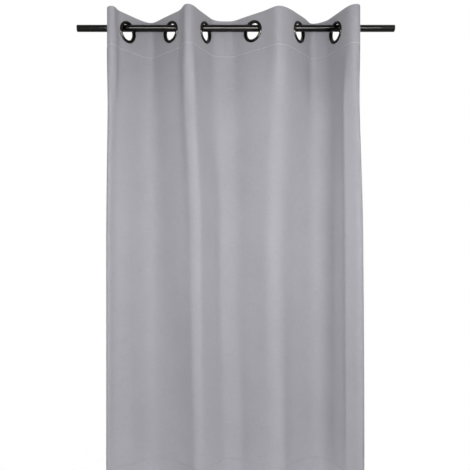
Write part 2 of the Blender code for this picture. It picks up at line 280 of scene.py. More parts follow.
def half_fold(slope, run, depth, crest_handle):
    """Half a fold from an eyelet's centre to a crest: flat cloth at the eyelet's slope, then a cubic curve."""
    direction = np.array([math.cos(slope), math.sin(slope)])
    start = FLAT_HALF * direction
    end = np.array([run, depth])
    chord = np.linalg.norm(end - start)
    leave = start + HANDLE_AT_EYELET * chord * direction
    arrive = end - np.array([crest_handle * chord, 0])
    flat = np.linspace(0, 1, FLAT_POINTS, endpoint=False)[:, None] * start
    return np.vstack([flat, cubic(start, leave, arrive, end, CURVE_POINTS)])


def side_return(run, depth, length):
    """The side cloth past an end crest: an arc that curls back behind it, then straight to the side edge."""
    along = np.linspace(0, length, 40)[1:]
    turn = np.minimum(along / RETURN_RADIUS, RETURN_TURN)
    straight = along - turn * RETURN_RADIUS
    return np.column_stack([
        run + RETURN_RADIUS * np.sin(turn) + straight * np.cos(turn),
        depth - RETURN_RADIUS * (1 - np.cos(turn)) - straight * np.sin(turn),
    ])


def path_length(points):
    """The sum of the distances from each point to the next."""
    return float(np.linalg.norm(np.diff(points, axis=0), axis=1).sum())


def plan_points():
    """The whole panel in plan, left to right, and the index of each eyelet and crest among its points.

    Each eyelet's two half folds are the same curve turned half round its centre.
    """
    runs = [END_FOLDS[0][0], *(CRESTS[:, 0] - EYELET_CENTRES[:-1, 0]), END_FOLDS[1][0]]
    depths = [END_FOLDS[0][1], *np.abs(CRESTS[:, 1]), END_FOLDS[1][1]]
    pieces, eyelet_at, crest_at, count = [], [], [], 0
    half_points = FLAT_POINTS + CURVE_POINTS
    for j in range(EYELETS):
        side = 1 if EYELET_HEADINGS[j] > 0 else -1
        slope = abs(EYELET_HEADINGS[j])
        halves = []
        for way, gap in ((-1, j), (1, j + 1)):
            half = half_fold(slope, runs[gap], depths[gap], HANDLES_AT_CRESTS[gap])
            if gap in (0, EYELETS):
                rest = SIDE_CLOTH - (path_length(half) - FLAT_HALF)
                half = np.vstack([half, side_return(runs[gap], depths[gap], rest)])
            halves.append(EYELET_CENTRES[j, :2] * [1, 0] + way * half * [1, side])
        left, right = halves[0][::-1], halves[1]
        if j > 0:
            left = left[1:]
        pieces += [left[:-1], right]
        if j == 0:
            crest_at.append(len(halves[0]) - half_points)
        eyelet_at.append(count + len(left) - 1)
        count += len(left) - 1 + len(right)
        crest_at.append(count - 1 if j < EYELETS - 1 else eyelet_at[-1] + half_points - 1)
    return np.vstack(pieces), eyelet_at, crest_at


PLAN, EYELET_AT, CREST_AT = plan_points()
PLAN_LENGTHS = np.concatenate([[0], np.cumsum(np.linalg.norm(np.diff(PLAN, axis=0), axis=1))])
WIDTH = PLAN_LENGTHS[-1]
EYELET_S = PLAN_LENGTHS[EYELET_AT]
CREST_S = PLAN_LENGTHS[CREST_AT]  # the left end's crest, the five crests between eyelets, the right end's
EYELET_Z = float(EYELET_CENTRES[:, 2].mean())
PLAN_STEP = 1 * MM
PLAN_GRID = np.arange(-60, int(WIDTH / PLAN_STEP) + 62) * PLAN_STEP


def smoothstep(low, high, value):
    """0 below low, 1 above high, and between them three times the square less twice the cube of the share."""
    t = np.clip((value - low) / (high - low), 0, 1)
    return t * t * (3 - 2 * t)


def softened(spread):
    """The plan curve averaged along its length by a bell curve of this spread, as cloth rounds its own folds."""
    inside = np.clip(PLAN_GRID, 0, WIDTH)
    curve = np.column_stack([np.interp(inside, PLAN_LENGTHS, PLAN[:, axis]) for axis in (0, 1)])
    for end, here in ((0, PLAN_GRID < 0), (-1, PLAN_GRID > WIDTH)):
        edge = PLAN[end]
        inwards = PLAN[1] - PLAN[0] if end == 0 else PLAN[-1] - PLAN[-2]
        inwards = inwards / np.linalg.norm(inwards)
        past = (PLAN_GRID[here] - (0 if end == 0 else WIDTH))[:, None]
        curve[here] = edge + past * inwards
    reach = np.arange(-int(3 * spread / PLAN_STEP), int(3 * spread / PLAN_STEP) + 1) * PLAN_STEP
    bell = np.exp(-0.5 * (reach / spread) ** 2)
    bell /= bell.sum()
    padded = np.pad(curve, ((len(reach) // 2,) * 2, (0, 0)), mode="reflect", reflect_type="odd")
    return np.column_stack([np.convolve(padded[:, axis], bell, mode="valid") for axis in (0, 1)])


# ---- The sheet's shape ----

def ridge(distance, spread, tip):
    """A crease's section: it falls off by e over spread, and its tip is a curve of this half width."""
    return np.exp(-(np.sqrt(distance**2 + tip**2) - tip) / spread)


def swell(distance, spread):
    """A bell curve of height 1."""
    return np.exp(-0.5 * (distance / spread) ** 2)


LINE_S = np.sort(np.concatenate([CREST_S, EYELET_S]))


def away_from_edges(s, near, far):
    """0 within near of a side edge, 1 further than far from both, and a smooth step between."""
    return smoothstep(near, far, s) * smoothstep(near, far, WIDTH - s)


NEAR_EDGES = (1 - away_from_edges(PLAN_GRID, 20 * MM, 70 * MM))[:, None]
PLANS = [
    NEAR_EDGES * softened(min(spread, EDGE_SPREAD)) + (1 - NEAR_EDGES) * softened(spread) for spread in PLAN_SPREADS
]


def plan_at(s, z):
    """The plan curve at these lengths and heights, softened more and more towards the bottom, as (x, y) arrays."""
    fall = (HEAD_Z - z) / DROP
    header = smoothstep(HEADER_SEAM_Z - 190 * MM, HEADER_SEAM_Z + 5 * MM, z)
    low = smoothstep(0.15, 0.9, fall)
    shares = (header, (1 - header) * (1 - low), (1 - header) * low)
    where = np.clip((s - PLAN_GRID[0]) / PLAN_STEP, 0, len(PLAN_GRID) - 1.001)
    index = where.astype(int)
    part = where - index
    result = []
    for axis in (0, 1):
        total = 0
        for share, plan in zip(shares, PLANS):
            line = plan[:, axis]
            total = total + share * (line[index] * (1 - part) + line[index + 1] * part)
        result.append(total)
    result[1] = result[1] * (1 - SHALLOWER * (1 - header) * away_from_edges(s, 15 * MM, 75 * MM))
    return result


def crease_height(s, z, settings):
    """How far the cloth stands out of its plan curve: creases, slow waves below the header and seam puckers."""
    down = (HEAD_Z - z) / MM
    total = np.zeros(np.broadcast(s, z).shape)
    for fold, place_top, place_low, top, low, depth, spread, tip in CREASES:
        share = np.clip((down - top) / (low - top), 0, 1)
        place = CREST_S[fold] + (place_top + (place_low - place_top) * share) * MM
        grown = top + 8 + 14 * abs(depth)
        fade = smoothstep(top - 6, grown, down) * (1 - smoothstep(low - 0.45 * (low - top), low, down))
        total += depth * MM * fade * ridge(s - place, spread * MM, tip * MM)
    loose = smoothstep(90, 260, down)
    waves = sum(
        height * np.sin(s / length + start + sway * np.sin(z / sway_length + sway_start))
        for height, length, start, sway, sway_length, sway_start in WAVES
    )
    total += waves * MM * loose
    for seam_z in (HEADER_SEAM_Z, BOTTOM_SEAM_Z):
        line = swell(z - seam_z, 1.6 * MM)
        pucker = swell(z - seam_z, 9 * MM) * np.sin(s / (2.1 * MM) + 2 * np.sin(s / 0.017))
        total += -0.45 * MM * line + 0.10 * MM * pucker
    return total * settings.crease


def smooth_line(values, s):
    """A curve through one value per fold line: half cosine steps from each line to the next."""
    where = np.clip(np.interp(s, LINE_S, np.arange(len(LINE_S))), 0, len(LINE_S) - 1.001)
    index = where.astype(int)
    share = 0.5 - 0.5 * np.cos(math.pi * (where - index))
    return values[index] * (1 - share) + values[index + 1] * share


def drift(s, fall):
    """Sideways drift: nothing in the header, then the middle's values, then the bottom's."""
    down_to_middle = smoothstep(0.07, 0.50, fall)
    down_to_bottom = smoothstep(0.50, 1.0, fall)
    middle_drift, bottom_drift = smooth_line(DRIFT_MIDDLE, s), smooth_line(DRIFT_BOTTOM, s)
    return down_to_middle * middle_drift + down_to_bottom * (bottom_drift - middle_drift)


def outwards(before, after):
    """The unit direction (x, y) out of the cloth into the room, square to the step between two of its points."""
    run_x, run_y = after[0] - before[0], after[1] - before[1]
    length = np.sqrt(run_x**2 + run_y**2)
    return run_y / length, -run_x / length


def mid_surface(s, z, settings):
    """The sheet's middle: the plan curve, drifted sideways by height, plus creases square to it."""
    x, y = plan_at(s, z)
    fall = np.clip((HEAD_Z - z) / DROP, 0, 1)
    x = x + settings.lean * drift(s, fall)
    out_x, out_y = outwards(plan_at(s - PLAN_STEP, z), plan_at(s + PLAN_STEP, z))
    height = crease_height(s, z, settings)
    return x + height * out_x, y + height * out_y


def surface(s, z, offset, settings):
    """Points of the sheet, this far in front of its middle: (..., 3)."""
    x, y = mid_surface(s, z, settings)
    step = 0.5 * MM
    out_x, out_y = outwards(mid_surface(s - step, z, settings), mid_surface(s + step, z, settings))
    return np.stack([x + offset * out_x, y + offset * out_y, z + 0 * x], axis=-1)


# ---- Meshes ----

def new_object(name, verts, faces, uvs=None, smooth_angle=None):
    """A mesh object at the origin from numpy arrays, with its faces made to point outwards."""
    mesh = bpy.data.meshes.new(name)
    mesh.from_pydata(verts.reshape(-1, 3).tolist(), [], faces.tolist() if hasattr(faces, "tolist") else faces)
    if uvs is not None:
        corner_verts = np.zeros(len(mesh.loops), dtype=np.int32)
        mesh.loops.foreach_get("vertex_index", corner_verts)
        layer = mesh.uv_layers.new(name="UVMap")
        layer.uv.foreach_set("vector", uvs.reshape(-1, 2)[corner_verts].astype(np.float32).ravel())
    mesh.validate()
    if signed_volume(mesh) < 0:
        mesh.flip_normals()
    mesh.shade_smooth()
    if smooth_angle is not None:
        mesh.set_sharp_from_angle(angle=math.radians(smooth_angle))
    made = bpy.data.objects.new(name, mesh)
    bpy.context.scene.collection.objects.link(made)
    return made


def signed_volume(mesh):
    """Six times the volume is the sum, over the triangles, of corner a dotted with b crossed with c."""
    mesh.calc_loop_triangles()
    verts = np.zeros(len(mesh.vertices) * 3)
    mesh.vertices.foreach_get("co", verts)
    corners = np.zeros(len(mesh.loop_triangles) * 3, dtype=np.int32)
    mesh.loop_triangles.foreach_get("vertices", corners)
    a, b, c = verts.reshape(-1, 3)[corners.reshape(-1, 3)].transpose(1, 0, 2)
    return float(np.einsum("ij,ij->i", a, np.cross(b, c)).sum() / 6)


def grid_faces(rows, columns, first=0, wrap_rows=False, wrap_columns=False):
    """Quads of a grid of vertices numbered row by row."""
    r = np.arange(rows if wrap_rows else rows - 1)[:, None]
    c = np.arange(columns if wrap_columns else columns - 1)[None, :]
    r2, c2 = (r + 1) % rows, (c + 1) % columns
    corners = [r * columns + c, r * columns + c2, r2 * columns + c2, r2 * columns + c]
    return np.stack([np.broadcast_to(k, (r.shape[0], c.shape[1])) for k in corners], axis=-1).reshape(-1, 4) + first


def shell(name, outer, inner, uv):
    """A closed thin piece from two grids of points, (rows, columns, 3), joined round their rims."""
    rows, columns = outer.shape[:2]
    size = rows * columns
    number = np.arange(size).reshape(rows, columns)
    rim = np.concatenate([number[0, :-1], number[:-1, -1], number[-1, :0:-1], number[:0:-1, 0]])
    after = np.roll(rim, -1)
    walls = np.stack([after, rim, rim + size, after + size], axis=-1)
    faces = np.vstack([grid_faces(rows, columns), grid_faces(rows, columns, size)[:, ::-1], walls])
    return new_object(name, np.concatenate([outer.reshape(-1, 3), inner.reshape(-1, 3)]), faces,
                      np.concatenate([uv.reshape(-1, 2)] * 2), smooth_angle=60)


def turned(name, profile, places, sides):
    """Closed rings: a closed profile of (radius, height) turned about each place's own axis and joined up."""
    angle = np.arange(sides) * (math.tau / sides)
    ring = np.stack([
        np.cos(angle)[None, :] * profile[:, :1],
        np.sin(angle)[None, :] * profile[:, :1],
        np.broadcast_to(profile[:, 1:], (len(profile), sides)),
    ], axis=-1)
    centre, axes = places
    verts = centre + ring.reshape(-1, 3) @ axes
    faces = grid_faces(len(profile), sides, wrap_rows=True, wrap_columns=True)
    around = np.broadcast_to(angle[None, :], (len(profile), sides))
    along = np.broadcast_to(np.arange(len(profile))[:, None] / len(profile), around.shape)
    return new_object(name, verts, faces, np.stack([around / math.tau, along], axis=-1), smooth_angle=50)


# ---- The cloth's folded profile ----

def hole_rows():
    """Heights of the rows past an eyelet's hole, top and bottom points included, evenly spread round it."""
    return EYELET_Z - HOLE_RADIUS * np.cos(np.linspace(0, math.pi, 25))


def face_heights():
    """Heights of the rows of the cloth's face, from the hem's turn to the head's turn."""
    rows = hole_rows()
    low = np.linspace(HEM_Z + 1.1 * MM, HEADER_SEAM_Z - 12 * MM, 250)
    seam = np.linspace(HEADER_SEAM_Z - 11 * MM, HEADER_SEAM_Z + 8 * MM, 20)
    between = np.linspace(HEADER_SEAM_Z + 9 * MM, rows[0] - 1 * MM, 5)
    top = np.linspace(rows[-1] + 1 * MM, HEAD_Z - 1.5 * MM, 9)
    hem_seam = np.linspace(BOTTOM_SEAM_Z - 8 * MM, BOTTOM_SEAM_Z + 8 * MM, 17)
    low = low[(low < hem_seam[0] - 1 * MM) | (low > hem_seam[-1] + 1 * MM)]
    return np.sort(np.concatenate([low, hem_seam, seam, between, rows, top]))


def turn_rows(centre_offset, centre_z, radius, start, end, count):
    """Rows round a turn of the cloth: points of a circle, each with its direction from the centre."""
    angle = np.linspace(start, end, count)
    return [
        (centre_offset + radius * np.cos(a), centre_z + radius * np.sin(a), np.cos(a), np.sin(a)) for a in angle
    ]


def cloth_profile():
    """Rows (offset, height, and the sheet's outward direction) of the folded sheet, from hem edge to header edge."""
    hem_radius = FACE_OFFSET / 2
    head_radius = FACE_OFFSET
    face = face_heights()
    bottom, top = HEM_Z + hem_radius + 0.45 * MM, HEAD_Z - head_radius - 0.45 * MM
    face = face[(face > bottom) & (face < top)]
    inside_hem = face[face < HEM_EDGE_Z][::-1]
    inside_header = face[face > HEADER_EDGE_Z][::-1]
    rows = [(0.0, HEM_EDGE_Z, -1, 0)]
    rows += [(0.0, z, -1, 0) for z in inside_hem]
    rows += turn_rows(hem_radius, bottom, hem_radius, math.pi, math.tau, 9)
    rows += [(FACE_OFFSET, z, 1, 0) for z in face]
    rows += turn_rows(0.0, top, head_radius, 0, math.pi, 11)
    rows += [(-FACE_OFFSET, z, -1, 0) for z in inside_header]
    rows.append((-FACE_OFFSET, HEADER_EDGE_Z, -1, 0))
    return np.array(rows)


def stiffener_profile():
    """Rows of the stiffener's flat band, from its lower edge to its upper edge."""
    heights = face_heights()
    heights = heights[(heights > HEADER_SEAM_Z + 2 * MM) & (heights < HEAD_Z - 2.5 * MM)]
    return np.column_stack([0 * heights, heights, 0 * heights + 1, 0 * heights])


def section_lengths(section, heights, columns):
    """Lengths along the cloth, (rows, columns), of the section's points: evenly spread between its edges.

    An edge at an eyelet bows round the hole, by half the hole's chord at that height.
    """
    reach = HOLE_RADIUS**2 - (heights - EYELET_Z) ** 2
    chord = np.sqrt(np.clip(reach, 0, None))
    low = 0 * heights if section == 0 else EYELET_S[section - 1] + chord
    high = WIDTH + 0 * heights if section == EYELETS else EYELET_S[section] - chord
    share = np.linspace(0, 1, columns)
    return low[:, None] + (high - low)[:, None] * share[None, :]


def sheet_shell(name, place, thickness, uv, settings):
    """A closed shell round a sheet. place(shift) gives the lengths, heights and offsets, moved outwards by shift."""
    outer, inner = (surface(*place(way * thickness / 2), settings) for way in (1, -1))
    return shell(name, outer, inner, uv)


def folded_section(name, section, profile, thickness, columns, settings):
    """One section of a folded sheet, as a closed shell. The UV map is the flat cloth, in metres."""
    offset, z, out_offset, out_z = (column[:, None] for column in profile.T)
    s = section_lengths(section, profile[:, 1], columns)
    along = np.concatenate([[0], np.cumsum(np.hypot(np.diff(profile[:, 0]), np.diff(profile[:, 1])))])
    uv = np.stack([s, np.broadcast_to(along[:, None], s.shape)], axis=-1)
    return sheet_shell(
        name, lambda shift: (s, z + shift * out_z, offset + shift * out_offset), thickness, uv, settings
    )


def side_hem(name, side, settings):
    """The side hem's turned cloth, as a closed shell: from its sewn edge behind the face to a turn at the side edge.

    Its path across is a list of (distance in from the side edge, offset, and the shell's outward direction).
    """
    radius = FACE_OFFSET / 2
    path = [(inward, 0.0, 0.0, -1.0) for inward in np.linspace(SIDE_HEM, 0, 22)]
    path += [
        (-radius * np.cos(a), radius + radius * np.sin(a), -np.cos(a), np.sin(a))
        for a in np.linspace(-math.pi / 2, math.pi / 2, 9)[1:]
    ]
    inward, offset, out_inward, out_offset = np.array(path).T[:, None, :]
    z = np.linspace(HEM_EDGE_Z + 1 * MM, HEADER_EDGE_Z - 1 * MM, 200)[:, None]

    def place(shift):
        from_edge = inward + shift * out_inward
        return from_edge if side == "left" else WIDTH - from_edge, z, offset + shift * out_offset

    uv = np.stack(np.broadcast_arrays(-inward, z), axis=-1)
    return sheet_shell(name, place, settings.thickness, uv, settings)


def section_name(prefix, section):
    """A section's piece name: its side, or the number of the fold between two eyelets."""
    if section in (0, EYELETS):
        return f"{prefix}_{'left' if section == 0 else 'right'}_side"
    return f"{prefix}_fold_{section}"


def follow_section(piece, section):
    """A side section rides on its end pleat. One between two eyelets stays where it is made, its place baked into
    its mesh.
    """
    if section in (0, EYELETS):
        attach(piece, f"pleat_{1 if section == 0 else EYELETS}")
        return
    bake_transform(piece)


def pleat_nodes(prefix, section):
    """The frame's nodes that a section stands for: one pleat's for each section but the last."""
    return [f"{prefix}_{section + 1}"] if section < EYELETS else [f"{prefix}_{EYELETS}"]


# ---- Stitching ----

def stitches(name, starts, ends, out):
    """A row of stitches, each a six-sided thread from its start to its end that bows out and thins at its ends.

    The three arrays hold one row per stitch. The bow and the radius follow powers of a half wave of the sine.
    """
    rings, sides = 6, 6
    share = np.linspace(0, 1, rings)
    bow = 0.28 * MM * np.sin(math.pi * share) ** 0.6
    radius = 0.42 * MM * (0.35 + 0.65 * np.sin(math.pi * share) ** 0.5)
    along = ends - starts
    along /= np.linalg.norm(along, axis=1, keepdims=True)
    across = np.cross(out, along)
    across /= np.linalg.norm(across, axis=1, keepdims=True)
    angle = np.arange(sides) * (math.tau / sides)
    centre = starts[:, None] + share[None, :, None] * (ends - starts)[:, None]
    centre = centre + bow[None, :, None] * out[:, None]
    around = (
        np.cos(angle)[None, None, :, None] * across[:, None, None]
        + np.sin(angle)[None, None, :, None] * out[:, None, None]
    )
    verts = centre[:, :, None] + radius[None, :, None, None] * around
    one = grid_faces(rings, sides, wrap_columns=True)
    caps = [np.arange(sides)[::-1], np.arange(sides) + (rings - 1) * sides]
    faces = []
    for k in range(len(starts)):
        first = k * rings * sides
        faces += (one + first).tolist() + [(cap + first).tolist() for cap in caps]
    return new_object(name, verts.reshape(-1, 3), faces)


def stitch_spans(low, high, pitch):
    """Starts and ends of whole stitches, evenly spread from low to high."""
    count = int(round((high - low) / pitch))
    pitch = (high - low) / count
    start = low + (np.arange(count) + 0.12) * pitch
    return start, start + 0.76 * pitch


def sewn(name, starts, ends, middles, settings):
    """Stitches on the cloth's face. Each argument is (lengths along the cloth, heights)."""
    lift = FACE_OFFSET + settings.thickness / 2 + 0.12 * MM
    out = surface(*middles, lift + 1 * MM, settings) - surface(*middles, lift, settings)
    out = out / np.linalg.norm(out, axis=1, keepdims=True)
    return stitches(name, surface(*starts, lift, settings), surface(*ends, lift, settings), out)


def level_stitches(name, section, seam_z, settings):
    """Stitches along a level seam, on the cloth's face, through one section."""
    low, high = section_lengths(section, np.array([seam_z]), 2)[0]
    start, end = stitch_spans(low, high, settings.stitch_pitch)
    height = np.full(len(start), seam_z)
    return sewn(name, (start, height), (end, height), ((start + end) / 2, height), settings)


def upright_stitches(name, s, low, high, settings):
    """Stitches down the face of the cloth at one length along it."""
    start, end = stitch_spans(low, high, settings.stitch_pitch)
    here = np.full(len(start), s)
    return sewn(name, (here, start), (here, end), (here, start), settings)


# ---- Materials ----

class Nodes:
    """A short hand for building a material's node tree."""

    def __init__(self, name):
        self.material = bpy.data.materials.new(name)
        self.material.use_nodes = True
        self.tree = self.material.node_tree
        self.shader = self.tree.nodes["Principled BSDF"]

    def new(self, kind):
        return self.tree.nodes.new("ShaderNode" + kind)

    def place(self):
        """Object coordinates."""
        return self.new("TexCoord").outputs["Object"]

    def flat_cloth(self):
        """The piece's own UV map, which is its flat cloth in metres."""
        return self.new("UVMap").outputs["UV"]

    def join(self, output, target):
        self.tree.links.new(output, target)

    def set(self, **values):
        """Sets the shader's own sockets, each named with underscores for its spaces."""
        for name, value in values.items():
            self.shader.inputs[name.replace("_", " ")].default_value = value

    def feed(self, **outputs):
        """Joins outputs to the shader's sockets, named in the same way."""
        for name, output in outputs.items():
            self.join(output, self.shader.inputs[name.replace("_", " ")])

    def math(self, operation, a, b=None):
        node = self.new("Math")
        node.operation = operation
        for socket, value in zip(node.inputs, (a, b)):
            if value is None:
                continue
            if isinstance(value, (int, float)):
                socket.default_value = value
            else:
                self.join(value, socket)
        return node.outputs[0]

    def weighted(self, *terms):
        """The sum of values, each times its share."""
        parts = [self.math("MULTIPLY", value, share) for value, share in terms]
        total = parts[0]
        for part in parts[1:]:
            total = self.math("ADD", total, part)
        return total

    def noise(self, vector, scale, detail=3.0, stretch=(1, 1, 1)):
        mapping = self.new("Mapping")
        mapping.inputs["Scale"].default_value = stretch
        self.join(vector, mapping.inputs["Vector"])
        node = self.new("TexNoise")
        node.inputs["Scale"].default_value = scale
        node.inputs["Detail"].default_value = detail
        self.join(mapping.outputs[0], node.inputs["Vector"])
        return node.outputs["Fac"]

    def ramp(self, factor, stops):
        node = self.new("ValToRGB")
        elements = node.color_ramp.elements
        while len(elements) > len(stops):
            elements.remove(elements[-1])
        while len(elements) < len(stops):
            elements.new(0.5)
        for element, (position, colour) in zip(elements, stops):
            element.position = position
            element.color = (*colour, 1)
        self.join(factor, node.inputs["Fac"])
        return node.outputs["Color"]

    def bump(self, height, strength, distance, under=None):
        node = self.new("Bump")
        node.inputs["Strength"].default_value = strength
        node.inputs["Distance"].default_value = distance
        self.join(height, node.inputs["Height"])
        if under is not None:
            self.join(under, node.inputs["Normal"])
        return node.outputs["Normal"]


def scaled(colour, factor):
    """A colour times a factor, held at white."""
    return tuple(min(1.0, channel * factor) for channel in colour)


def cloth_material(settings):
    """A plain dimout weave: fine crossing yarns, slubs along them, and a slow unevenness of the dye."""
    made = Nodes("woven_cloth")
    uv = made.flat_cloth()
    split = made.new("SeparateXYZ")
    made.join(uv, split.inputs[0])
    turn = math.pi / settings.weave_pitch
    warp, weft = (made.math("SINE", made.math("MULTIPLY", split.outputs[axis], turn)) for axis in (0, 1))
    checks = made.math("MULTIPLY", warp, weft)
    yarns = made.math("ADD", made.math("ABSOLUTE", warp), made.math("ABSOLUTE", weft))
    weave = made.weighted((yarns, 0.35), (checks, 0.65))
    slub_down = made.noise(uv, 1.0, 2.0, (900, 28, 1))
    slub_across = made.noise(uv, 1.0, 2.0, (28, 900, 1))
    slubs = made.math("ADD", slub_down, slub_across)
    dye = made.noise(uv, 7.0, 4.0)
    fleck = made.noise(uv, 1.0, 2.0, (260, 70, 1))
    colour = made.ramp(made.weighted((slubs, 0.30), (dye, 0.25), (fleck, 0.15)), [
        (0.20, scaled(settings.colour, 0.86)),
        (0.36, settings.colour),
        (0.55, scaled(settings.colour, 1.12)),
    ])
    rough = made.math("ADD", 0.80, made.math("MULTIPLY", slubs, 0.10))
    normal = made.bump(slubs, 0.25, 0.15 * MM, made.bump(weave, 0.22, 0.12 * MM))
    made.feed(Base_Color=colour, Roughness=rough, Normal=normal)
    made.set(Sheen_Weight=0.18, Sheen_Roughness=0.45, Specular_IOR_Level=0.25)
    return made.material


def stiffener_material():
    """Non-woven tape: matted fibres in every direction."""
    made = Nodes("non_woven_tape")
    fibres = made.noise(made.flat_cloth(), 900.0, 5.0)
    colour = made.ramp(fibres, [(0.3, (0.62, 0.62, 0.60)), (0.7, (0.80, 0.80, 0.78))])
    made.feed(Base_Color=colour, Normal=made.bump(fibres, 0.4, 0.2 * MM))
    made.set(Roughness=0.95)
    return made.material


def thread_material(name, colour):
    """Twisted polyester sewing thread."""
    made = Nodes(name)
    twist = made.noise(made.place(), 2600.0, 2.0)
    shade = made.ramp(twist, [(0.3, scaled(colour, 0.85)), (0.7, scaled(colour, 1.1))])
    made.feed(Base_Color=shade, Normal=made.bump(twist, 0.3, 0.1 * MM))
    made.set(Roughness=0.6, Sheen_Weight=0.2)
    return made.material


def plated_material(name, colour, roughness, stretch):
    """Black nickel plate: near-black metal with a fine polish grain and a few faint handling marks."""
    made = Nodes(name)
    place = made.place()
    grain = made.noise(place, 1.0, 3.0, stretch)
    cloud = made.noise(place, 45.0, 4.0)
    tone = made.weighted((grain, 0.5), (cloud, 0.5))
    shade = made.ramp(tone, [(0.35, scaled(colour, 0.8)), (0.5, colour), (0.65, scaled(colour, 1.25))])
    rough = made.math("ADD", roughness - 0.06, made.math("MULTIPLY", tone, 0.14))
    made.feed(Base_Color=shade, Roughness=rough, Normal=made.bump(grain, 0.10, 0.05 * MM))
    made.set(Metallic=1.0, Coat_Weight=0.3, Coat_Roughness=0.08)
    return made.material


# ---- Operators ----

class CURTAIN_OT_cloth(bpy.types.Operator):
    """Make the woven cloth, section by section, and the side hems"""

    bl_idname = "curtain.cloth"
    bl_label = "Cloth"

    def execute(self, context):
        settings = context.scene.curtain_cloth
        finish = cloth_material(settings)
        profile = cloth_profile()
        for section in range(EYELETS + 1):
            columns = settings.columns if 0 < section < EYELETS else settings.columns * 2 // 3
            piece = folded_section(
                section_name("curtain", section), section, profile, settings.thickness, columns, settings
            )
            piece.data.materials.append(finish)
            follow_section(piece, section)
            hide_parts(*pleat_nodes("cloth_pleat", section))
        for side, section, pleat in (("left", 0, 1), ("right", EYELETS, EYELETS)):
            piece = side_hem(f"side_hem_{side}", side, settings)
            piece.data.materials.append(finish)
            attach(piece, f"pleat_{pleat}")
            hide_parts(f"cloth_pleat_{pleat}")
        return {"FINISHED"}


class CURTAIN_OT_stiffener(bpy.types.Operator):
    """Make the non-woven band inside the header"""

    bl_idname = "curtain.stiffener"
    bl_label = "Header stiffener"

    def execute(self, context):
        settings = context.scene.curtain_cloth
        finish = stiffener_material()
        profile = stiffener_profile()
        for section in range(EYELETS + 1):
            piece = folded_section(section_name("stiffener", section), section, profile, STIFFENER, 48, settings)
            piece.data.materials.append(finish)
            follow_section(piece, section)
            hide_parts(*pleat_nodes("header_stiffener", section))
        return {"FINISHED"}


class CURTAIN_OT_seams(bpy.types.Operator):
    """Sew the header seam, the bottom hem's seam and the two side seams"""

    bl_idname = "curtain.seams"
    bl_label = "Seams"

    def execute(self, context):
        settings = context.scene.curtain_cloth
        pale = thread_material("pale_thread", settings.thread_colour)
        matched = thread_material("matched_thread", scaled(settings.colour, 1.1))
        rows = (
            ("header_stitches", HEADER_SEAM_Z, "header_seam", pale),
            ("bottom_stitches", BOTTOM_SEAM_Z, "bottom_seam", matched),
        )
        for prefix, seam_z, nodes, finish in rows:
            for section in range(EYELETS + 1):
                piece = level_stitches(section_name(prefix, section), section, seam_z, settings)
                piece.data.materials.append(finish)
                follow_section(piece, section)
                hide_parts(*pleat_nodes(nodes, section))
        low, high = BOTTOM_SEAM_Z + 2 * SEAM_INSET, HEADER_SEAM_Z - 2 * SEAM_INSET
        inset = SIDE_HEM - SEAM_INSET
        for side, s, body in (("left", inset, "pleat_1"), ("right", WIDTH - inset, f"pleat_{EYELETS}")):
            piece = upright_stitches(f"side_stitches_{side}", s, low, high, settings)
            piece.data.materials.append(matched)
            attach(piece, body)
            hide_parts(f"side_seam_{side}")
        return {"FINISHED"}


class CURTAIN_OT_eyelets(bpy.types.Operator):
    """Make the six eyelets: a domed front ring with its barrel, and a domed back ring"""

    bl_idname = "curtain.eyelets"
    bl_label = "Eyelets"

    def execute(self, context):
        settings = context.scene.curtain_metal
        finish = plated_material("black_nickel", settings.ring_colour, 0.16, (600, 600, 600))
        for number in range(1, EYELETS + 1):
            centre = EYELET_CENTRES[number - 1]
            heading = EYELET_HEADINGS[number - 1]
            axes = np.array([
                [math.cos(heading), math.sin(heading), 0],
                [0, 0, 1],
                [math.sin(heading), -math.cos(heading), 0],
            ])
            for prefix, profile in (("front", front_ring_profile()), ("back", back_ring_profile())):
                node = f"eyelet_{prefix}_ring_{number}"
                piece = turned(f"{prefix}_ring_{number}", profile, (centre, axes), settings.sides)
                piece.data.materials.append(finish)
                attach(piece, f"pleat_{number}")
                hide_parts(node)
        return {"FINISHED"}


def dome(inner, outer, seat, height):
    """Half a curve a little fuller than an ellipse, from the inner edge over the crown to the outer edge.

    Gives (radius, height) points. The height follows the sine to the power of 0.85.
    """
    angle = np.linspace(math.pi, 0, 26)
    middle_radius, half = (inner + outer) / 2, (outer - inner) / 2
    return np.column_stack([middle_radius + half * np.cos(angle), seat + height * np.sin(angle) ** 0.85])


def front_ring_profile():
    """The front ring's closed section: its dome, its underside and its barrel."""
    barrel_end = -(SEAT + BARREL_REACH)
    outside = BORE + BARREL_WALL
    edge = 0.15 * MM
    body = [(RING_OUTER, SEAT), (outside, SEAT), (outside, 0), (outside - 0.1 * MM, barrel_end)]
    body += [(BORE + 0.3 * MM, barrel_end), (BORE, barrel_end + 0.3 * MM), (BORE, 0)]
    return np.vstack([dome(BORE, RING_OUTER, SEAT + edge, RING_HEIGHT - edge), body])


def back_ring_profile():
    """The back ring's closed section: its dome, whose inner lip covers the barrel's end, and its underside."""
    around = BORE + BARREL_WALL + 0.3 * MM
    lip = SEAT + BARREL_REACH + 0.3 * MM
    inner = BORE + 0.2 * MM
    crown = dome(inner, RING_OUTER, SEAT, RING_HEIGHT)
    crown = crown[(crown[:, 1] > lip + 0.1 * MM) | (crown[:, 0] > (inner + RING_OUTER) / 2)]
    body = [(RING_OUTER, SEAT), (around, SEAT), (around, lip), (BORE + 0.25 * MM, lip)]
    return np.vstack([crown, body]) * [1, -1]


